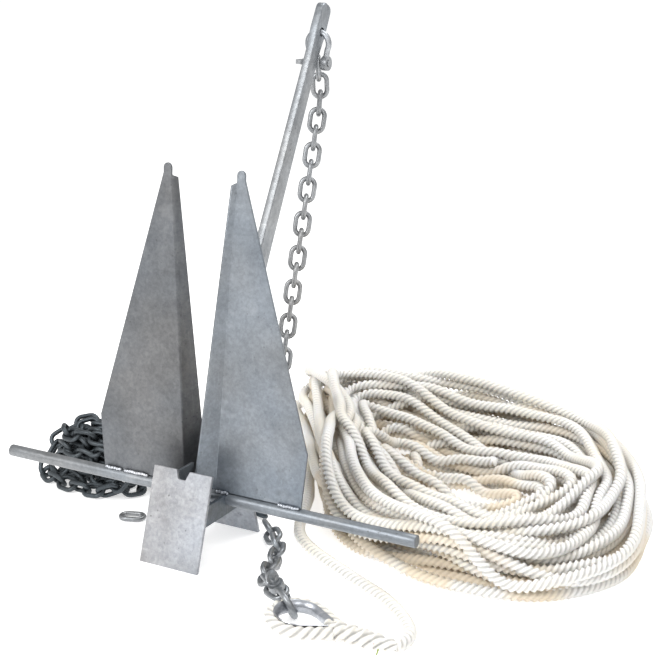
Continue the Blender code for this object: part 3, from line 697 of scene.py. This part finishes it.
def links(name, middles, longs, wides, chain, along=34, around=12):
    """Chain links: a round wire carried round a stadium, for many links at once.

    L(t) is the stadium of straight half-length h and bend radius b, and
    P(t, a) = middle + L(t) + wire (cos a n(t) + sin a k), n square to L and k to the link.
    """
    bend = chain.width / 2 - chain.wire
    half = chain.inside / 2 + chain.wire - bend
    quarter = np.linspace(-np.pi / 2, np.pi / 2, along // 2)
    right = np.stack([half + bend * np.cos(quarter), bend * np.sin(quarter)], 1)
    line = np.vstack([right, -right])
    out = np.vstack([np.stack([np.cos(quarter), np.sin(quarter)], 1)] * 2)
    out[along // 2 :] *= -1
    a = np.arange(around) * 2 * np.pi / around
    longs = longs / np.linalg.norm(longs, axis=1)[:, None]
    wides = wides - longs * (wides * longs).sum(1)[:, None]
    wides = wides / np.linalg.norm(wides, axis=1)[:, None]
    thin = np.cross(longs, wides)
    u = line[:, 0][None, :, None] + chain.wire * out[:, 0][None, :, None] * np.cos(a)
    v = line[:, 1][None, :, None] + chain.wire * out[:, 1][None, :, None] * np.cos(a)
    w = np.broadcast_to(chain.wire * np.sin(a), (1, len(line), around))
    grid = (
        middles[:, None, None]
        + u[..., None] * longs[:, None, None]
        + v[..., None] * wides[:, None, None]
        + w[..., None] * thin[:, None, None]
    )
    one = grid_faces(len(line), around, True, True).reshape(-1, 4)[:, [0, 3, 2, 1]]
    first = np.arange(len(middles))[:, None, None] * len(line) * around
    return mesh_object(name, grid.reshape(-1, 3), (first + one[None]).reshape(-1, 4).tolist())


def chain_along(path, pitch, tilt):
    """Middles, long and wide directions of links threaded on a line."""
    count = int(lengths(path)[-1] / pitch)
    middles = evenly(path, count)
    way, side, up = frames(middles)
    turn = tilt + np.where(np.arange(count) % 2, np.pi / 2, 0.0)
    wides = np.cos(turn)[:, None] * side + np.sin(turn)[:, None] * up
    return middles, way, wides


def weld_bead(node):
    """A bead of overlapping ripples laid along X, in the box of its solid.

    r(t) = R (1 - (2t-1)^8)^0.5 (1 + 0.16 |sin(pi n t)|), with a slow wave of its middle.
    """
    low, high = (np.array(v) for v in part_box(node))
    middle, half = (low + high) / 2, (high - low) / 2
    t = np.linspace(0.004, 0.996, 120)
    ripples = round(half[0] * 2 / 0.0042)
    radius = np.sqrt(1 - (2 * t - 1) ** 8) * (0.86 + 0.30 * np.abs(np.sin(np.pi * ripples * t)))
    sway = 0.18 * np.sin(2 * np.pi * t * 2.3 + middle[0] * 90)
    a = np.arange(18) * 2 * np.pi / 18
    grid = np.stack(
        [
            np.broadcast_to((low[0] + 2 * half[0] * t)[:, None], (120, 18)),
            middle[1] + half[1] * (sway[:, None] + radius[:, None] * np.cos(a)),
            middle[2] + half[2] * (0.5 * sway[:, None] + radius[:, None] * np.sin(a)),
        ],
        axis=-1,
    )
    return surface(node + "_ripples", grid)


def eye_line():
    """Centre line of the rope round the thimble: an arc and two straight legs."""
    side = math.acos(EYE_RADIUS / EYE_TIP)
    a = np.linspace(side, 2 * math.pi - side, 60)
    bend = EYE_RADIUS * np.stack([np.cos(a), np.sin(a)], axis=1)
    tip = np.array([EYE_TIP, 0.0])
    run = bend[0] + np.linspace(EYE_REACH, 0.02, 12)[:, None] * (tip - bend[0])
    back = bend[-1] + np.linspace(0.02, EYE_REACH, 12)[:, None] * (tip - bend[-1])
    flat = evenly(np.vstack([run, bend, back]), 90)
    turn = Matrix.Rotation(EYE_TURN, 3, "Z") @ Matrix.Rotation(EYE_TILT, 3, "Y")
    return np.column_stack([flat, np.zeros(len(flat))]) @ np.array(turn).T + EYE_CENTRE


# --- operators --------------------------------------------------------------------


class ANCHOR_OT_rope(bpy.types.Operator):
    """Lays the rope from the splice into its heap"""

    bl_idname = "anchor.rope"
    bl_label = "Rope"

    def execute(self, context):
        rope = context.scene.anchor_rope
        radius = rope.diameter / 2
        tail = open_curve(TAIL_POINTS, 80)
        turns = heap_line()

        def line(i, slide):
            on_tail = i < len(tail)
            later, share = turns(np.maximum(i - len(tail), 0), slide)
            return np.where(on_tail[:, None], tail[np.minimum(i, len(tail) - 1), :2], later), share

        low, high = HEAP_EDGE.min(0) - 0.06, HEAP_EDGE.max(0) + 0.06
        low = np.minimum(low, tail[:, :2].min(0) - 0.03)
        shifts = (0.0, -0.04, 0.04, -0.09, 0.09, -0.15, 0.15)
        path = settled(
            line, heap_mound, TURN_POINTS * LAID_TURNS, radius, 0.92, low, high,
            chunk=38, recent=12, shifts=shifts,
        )
        path[:, 2] += ROPE_LIFT
        path = relaxed(evenly(path[lengths(path) < rope.length * 1.02], ROPE_POINTS), 5, 3)
        path = path[lengths(path) < rope.length]
        path = evenly(path, int(lengths(path)[-1] / RING_SPACING))
        path, buried = path[:, :3], path[:, 3]
        obj = laid_rope("rope_line", path, radius, rope.lay, rope.valley, around=RING_POINTS)
        # How deep each ring lies under the turns above; the strands' material turns it into painted cream
        # shade.
        depth = obj.data.attributes.new("buried", "FLOAT", "POINT")
        buried = np.repeat(np.clip(buried, 0, 0.09), RING_POINTS)
        depth.data.foreach_set("value", buried.astype(np.float32))
        settle(obj, "root", "rope_nylon", nylon("rope_strands", rope.white, rope.cream),
               "rope_tail", "rope_coil")
        return {"FINISHED"}


class ANCHOR_OT_rope_eye(bpy.types.Operator):
    """Bends the rope round the thimble and buries its strands in the splice"""

    bl_idname = "anchor.rope_eye"
    bl_label = "Rope eye"

    def execute(self, context):
        rope = context.scene.anchor_rope
        line = eye_line()
        loop = laid_rope("eye_loop", line, rope.diameter / 2, EYE_LAY, rope.valley + 0.05, around=18)
        # Painted shade: the eye's strands are a darker copy of the rope's white.
        strands = nylon("eye_strands", shade(rope.white, 0.84)[:3], rope.cream)
        settle(loop, "root", "rope_nylon", strands, "rope_eye")
        start = np.array(EYE_CENTRE)
        turn = np.array(Matrix.Rotation(EYE_TURN, 3, "Z"))
        reach = np.linspace(SPLICE_START, SPLICE_END, SPLICE_RINGS)
        way = turn @ np.array([1.0, 0.0, 0.0])
        end = TAIL_POINTS[0]
        line = start[:2] + reach[:, None] * way[:2]
        blend = np.clip((reach - 0.09) / 0.04, 0, 1)[:, None]
        line = line * (1 - blend) + (end[:2] + (reach[:, None] - SPLICE_END) * way[:2]) * blend
        radius = np.interp(reach, [0.036, 0.055, 0.09, 0.107, 0.122, 0.13],
                           [0.0125, 0.0145, 0.0140, 0.0115, 0.0092, 0.0086])
        height = np.interp(reach, [0.036, 0.055, 0.12, 0.13], [0.0125, 0.0118, 0.0092, 0.0090])
        knots = 1 + 0.12 * np.sin(reach * 2 * np.pi / 0.0165) + 0.05 * np.sin(reach * 2 * np.pi / 0.0071)
        path = np.column_stack([line, height])
        # Painted shade: the splice's strands are a darker copy of the rope's white; the red flecks are
        # its own marks.
        varied = nylon("splice_strands", shade(rope.white, 0.84)[:3], rope.cream, 4, 0.8)
        bulge = laid_rope("splice", path, radius * knots, SPLICE_LAY, 0.62, lobes=4, around=40,
                          flat=0.78)
        settle(bulge, "root", "rope_nylon", varied)
        t = np.linspace(0, 1, 14)
        yarn = path[-20] + np.stack([0.004 * t, -0.0105 - 0.012 * t, -0.004 + 0.0 * t], axis=1)
        marker = laid_rope("marker_yarn", yarn, 0.0010, 0.006, 0.7, around=9)
        m = Nodes("marker_yarn_green")
        place = m.add("ShaderNodeTexCoord").outputs["Object"]
        m.put(m.shader.inputs["Base Color"],
              m.ramp(m.noise(place, 700.0), 0.3, 0.7, (0.16, 0.24, 0.02, 1), (0.34, 0.42, 0.06, 1)))
        m.shader.inputs["Roughness"].default_value = 0.8
        settle(marker, "root", "rope_nylon", m.material)
        return {"FINISHED"}


class ANCHOR_OT_hanging_chain(bpy.types.Operator):
    """Hangs the chain links below the upper shackle"""

    bl_idname = "anchor.hanging_chain"
    bl_label = "Hanging chain"

    def execute(self, context):
        chain = context.scene.anchor_chain
        names = [n for n in sorted(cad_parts) if n.startswith("chain_link_")]
        found = [node_axes(n) for n in names]
        obj = links("hanging_links", *[np.array([f[k] for f in found]) for k in range(3)], chain)
        colour = context.scene.anchor_zinc.chain
        settle(obj, "hanging_chain", "chain_zinc", zinc("chain_finish", colour), *names)
        return {"FINISHED"}


class ANCHOR_OT_floor_chain(bpy.types.Operator):
    """Lays the run of links on the floor, and the loose one beside the pile"""

    bl_idname = "anchor.floor_chain"
    bl_label = "Floor chain"

    def execute(self, context):
        chain = context.scene.anchor_chain
        names = [n for n in sorted(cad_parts) if n.startswith(("floor_link_", "stray_link"))]
        found = [node_axes(n) for n in names]
        obj = links("floor_links", *[np.array([f[k] for f in found]) for k in range(3)], chain)
        colour = context.scene.anchor_zinc.chain
        settle(obj, "root", "chain_zinc",
               zinc("floor_chain_finish", shade(colour, 0.8)[:3]), *names)
        return {"FINISHED"}


class ANCHOR_OT_chain_pile(bpy.types.Operator):
    """Heaps the rest of the chain and runs it behind the anchor"""

    bl_idname = "anchor.chain_pile"
    bl_label = "Chain pile"

    def execute(self, context):
        chain = context.scene.anchor_chain
        dull = zinc("pile_finish", context.scene.anchor_zinc.pile)
        pitch = chain.inside - 0.001
        behind = open_curve(BEHIND_POINTS, 60)
        run = links("chain_behind", *chain_along(behind, pitch, 0.5), chain, 20, 8)
        settle(run, "root", "chain_zinc_dull", dull, "chain_run_behind")

        def line(i, slide):
            t = i / PILE_TURN_STEPS
            share = 0.12 + 0.88 * np.abs((t / PILE_SWEEP_TURNS) % 2 - 1) ** 0.7 + slide
            swing = 2 * np.pi * t + 0.9 * np.sin(2 * np.pi * 0.43 * t)
            loop = np.stack([np.cos(swing) + 0.15 * np.sin(2.7 * swing + 1), np.sin(swing)], axis=1)
            share = np.clip(share, 0.05, 1.05)
            return PILE_CENTRE + PILE_HALF * share[:, None] * loop, share

        low, high = PILE_CENTRE - 0.2, PILE_CENTRE + 0.2
        shifts = (0.0, -0.1, 0.1, -0.2, 0.2, -0.35, 0.35)
        path = settled(
            line, pile_mound, PILE_STEPS, LINK_BED, 0.66, low, high,
            chunk=24, recent=8, shifts=shifts,
        )[:, :3]
        path = path[lengths(path) < chain.pile_links * pitch]
        middles, way, wides = chain_along(path, pitch, 0.6)
        obj = links("pile_links", middles, way, wides, chain, 20, 8)
        settle(obj, "root", "chain_zinc_dull", dull, "chain_pile")
        return {"FINISHED"}


class ANCHOR_OT_shackles(bpy.types.Operator):
    """Finishes the two shackles, their pins and the thimble"""

    bl_idname = "anchor.shackles"
    bl_label = "Shackles and thimble"

    def execute(self, context):
        colours = context.scene.anchor_zinc
        cast = zinc("shackle_finish", shade(colours.chain, 1.05)[:3])
        dull = zinc("lower_shackle_finish", shade(colours.chain, 0.9)[:3])
        bright = zinc("thimble_finish", shade(colours.palm, 1.25)[:3])
        for node, body, slot, finish in (
            ("upper_shackle_bow", "upper_shackle", "shackle_zinc", cast),
            ("upper_shackle_pin", "upper_pin", "shackle_zinc", cast),
            ("lower_shackle_bow", "root", "shackle_zinc", dull),
            ("lower_shackle_pin", "lower_pin", "shackle_zinc", dull),
            ("thimble", "root", "thimble_zinc", bright),
        ):
            piece = eased(node, node + "_smooth", 0.0003, 38.0)
            settle(piece, body, slot, finish, node)
        return {"FINISHED"}


class ANCHOR_OT_plates(bpy.types.Operator):
    """Finishes the flukes, palms, webs, cheeks and their weld beads"""

    bl_idname = "anchor.plates"
    bl_label = "Plates and welds"

    def execute(self, context):
        colours = context.scene.anchor_zinc
        # Painted light and shade: the left fluke gets a darker copy of the plate colour, the right fluke
        # a lighter one.
        shaded = [c * k for c, k in zip(colours.plate, LEFT_FLUKE_PAINTED_SHADE)]
        shaded_fluke_zinc = zinc("left_fluke_painted_shade", shaded)
        plate = zinc("right_fluke_painted_light", shade(colours.plate, 1.12)[:3])
        palm = zinc("palm_finish", colours.palm)
        crown = zinc("crown_finish", colours.plate)
        weld = zinc("weld_finish", shade(colours.palm, 1.35)[:3])
        for node, finish in (
            ("fluke_left", shaded_fluke_zinc), ("fluke_right", plate),
            ("palm_front", palm), ("palm_rear", palm),
            ("crown_web_left", crown), ("crown_web_right", crown),
            ("crown_cheek_front", crown), ("crown_cheek_rear", crown),
        ):
            piece = eased(node, node + "_plate", 0.0007)
            settle(piece, "fluke_assembly", "zinc_plate", finish, node)
        for node in sorted(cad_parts):
            if node.startswith("weld_bead"):
                settle(weld_bead(node), "fluke_assembly", "weld_zinc", weld, node)
        return {"FINISHED"}


class ANCHOR_OT_bars(bpy.types.Operator):
    """Finishes the shank and turns the stock bar"""

    bl_idname = "anchor.bars"
    bl_label = "Shank and stock"

    def execute(self, context):
        colours = context.scene.anchor_zinc
        bar = zinc("stock_finish", shade(colours.bar, 0.8)[:3])
        forged = zinc("shank_finish", colours.bar)
        settle(eased("shank", "shank_bar", 0.0012, segments=3), "root", "zinc_shank", forged, "shank")
        low, high = (np.array(v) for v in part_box("stock"))
        middle, radius = (low + high) / 2, (high[2] - low[2]) / 2
        ease = 0.0009
        reach = np.array([0, ease * 0.3, ease, 0.02, 0.3, 0.5])
        reach = np.concatenate([low[0] + reach[:5], [middle[0]], (high[0] - reach[:5])[::-1]])
        near = np.minimum(reach - low[0], high[0] - reach)
        shrink = radius - ease + ease * np.sqrt(np.clip(1 - (1 - near / ease).clip(0) ** 2, 0, 1))
        a = np.arange(64) * 2 * np.pi / 64
        grid = np.stack(
            [
                np.broadcast_to(reach[:, None], (len(reach), 64)),
                middle[1] + shrink[:, None] * np.cos(a),
                middle[2] + shrink[:, None] * np.sin(a),
            ],
            axis=-1,
        )
        settle(surface("stock_bar", grid), "fluke_assembly", "zinc_bar", bar, "stock")
        return {"FINISHED"}


class ANCHOR_OT_stage(bpy.types.Operator):
    """Sets the camera, the pale floor and the soft lights"""

    bl_idname = "anchor.stage"
    bl_label = "Stage"

    def execute(self, context):
        stage = context.scene.anchor_stage
        scene = context.scene
        eye = bpy.data.cameras.new("view")
        eye.lens = stage.lens
        eye.sensor_width = 36.0
        eye.clip_end = 100.0
        camera = bpy.data.objects.new("view", eye)
        scene.collection.objects.link(camera)
        camera.location = VIEW_PLACE
        camera.rotation_euler = [math.radians(angle) for angle in VIEW_TURN]
        scene.camera = camera
        x = np.linspace(-FLOOR_HALF, FLOOR_HALF, 3)
        grid = np.stack([*np.meshgrid(x, x, indexing="ij"), np.full((3, 3), FLOOR_LEVEL)], axis=-1)
        floor = surface("floor", grid[:, ::-1], around=False)
        m = Nodes("floor_paper")
        place = m.add("ShaderNodeTexCoord").outputs["Object"]
        paper = m.ramp(m.noise(place, 60.0), 0.3, 0.7, shade(stage.floor, 0.985), shade(stage.floor, 1.0))
        m.put(m.shader.inputs["Base Color"], paper)
        m.shader.inputs["Roughness"].default_value = 1.0
        m.shader.inputs["Specular IOR Level"].default_value = 0.0
        m.shader.inputs["Emission Color"].default_value = (1, 1, 1, 1)
        m.shader.inputs["Emission Strength"].default_value = 0.55
        dress(floor, m.material)
        world = bpy.data.worlds.new("studio")
        world.use_nodes = True
        world.node_tree.nodes["Background"].inputs[0].default_value = (1.0, 1.0, 1.0, 1)
        world.node_tree.nodes["Background"].inputs[1].default_value = 0.58
        scene.world = world
        scene.view_settings.view_transform = "Standard"
        for name, place, aim, size, power in LAMPS:
            lamp = bpy.data.lights.new(name, "AREA")
            lamp.energy = power
            lamp.size = size
            light = bpy.data.objects.new(name, lamp)
            scene.collection.objects.link(light)
            light.location = place
            light.rotation_euler = (Vector(aim) - Vector(place)).to_track_quat("-Z", "Y").to_euler()
        return {"FINISHED"}


class ANCHOR_PT_panel(bpy.types.Panel):
    """Lists the anchor's pieces and finishes"""

    bl_idname = "ANCHOR_PT_panel"
    bl_label = "Boat anchor"
    bl_space_type = "VIEW_3D"
    bl_region_type = "UI"
    bl_category = "Anchor"

    def draw(self, context):
        for settings in (
            context.scene.anchor_rope, context.scene.anchor_chain,
            context.scene.anchor_zinc, context.scene.anchor_stage,
        ):
            box = self.layout.box()
            for key in settings.__annotations__:
                box.prop(settings, key)
        for operator in OPERATORS:
            self.layout.operator(operator.bl_idname)


OPERATORS = (
    ANCHOR_OT_stage, ANCHOR_OT_rope, ANCHOR_OT_rope_eye, ANCHOR_OT_hanging_chain,
    ANCHOR_OT_floor_chain, ANCHOR_OT_chain_pile, ANCHOR_OT_shackles, ANCHOR_OT_plates,
    ANCHOR_OT_bars,
)
SETTINGS = {
    "anchor_rope": ANCHOR_PG_rope,
    "anchor_zinc": ANCHOR_PG_zinc,
    "anchor_chain": ANCHOR_PG_chain,
    "anchor_stage": ANCHOR_PG_stage,
}


def register():
    for group in SETTINGS.values():
        bpy.utils.register_class(group)
    for cls in (*OPERATORS, ANCHOR_PT_panel):
        bpy.utils.register_class(cls)
    for key, group in SETTINGS.items():
        setattr(bpy.types.Scene, key, bpy.props.PointerProperty(type=group))


def unregister():
    for key in SETTINGS:
        delattr(bpy.types.Scene, key)
    for cls in (ANCHOR_PT_panel, *reversed(OPERATORS)):
        bpy.utils.unregister_class(cls)
    for group in SETTINGS.values():
        bpy.utils.unregister_class(group)


def main():
    register()
    bpy.ops.anchor.stage()
    bpy.ops.anchor.rope()
    bpy.ops.anchor.rope_eye()
    bpy.ops.anchor.hanging_chain()
    bpy.ops.anchor.floor_chain()
    bpy.ops.anchor.chain_pile()
    bpy.ops.anchor.shackles()
    bpy.ops.anchor.plates()
    bpy.ops.anchor.bars()


if __name__ == "__main__":
    main()
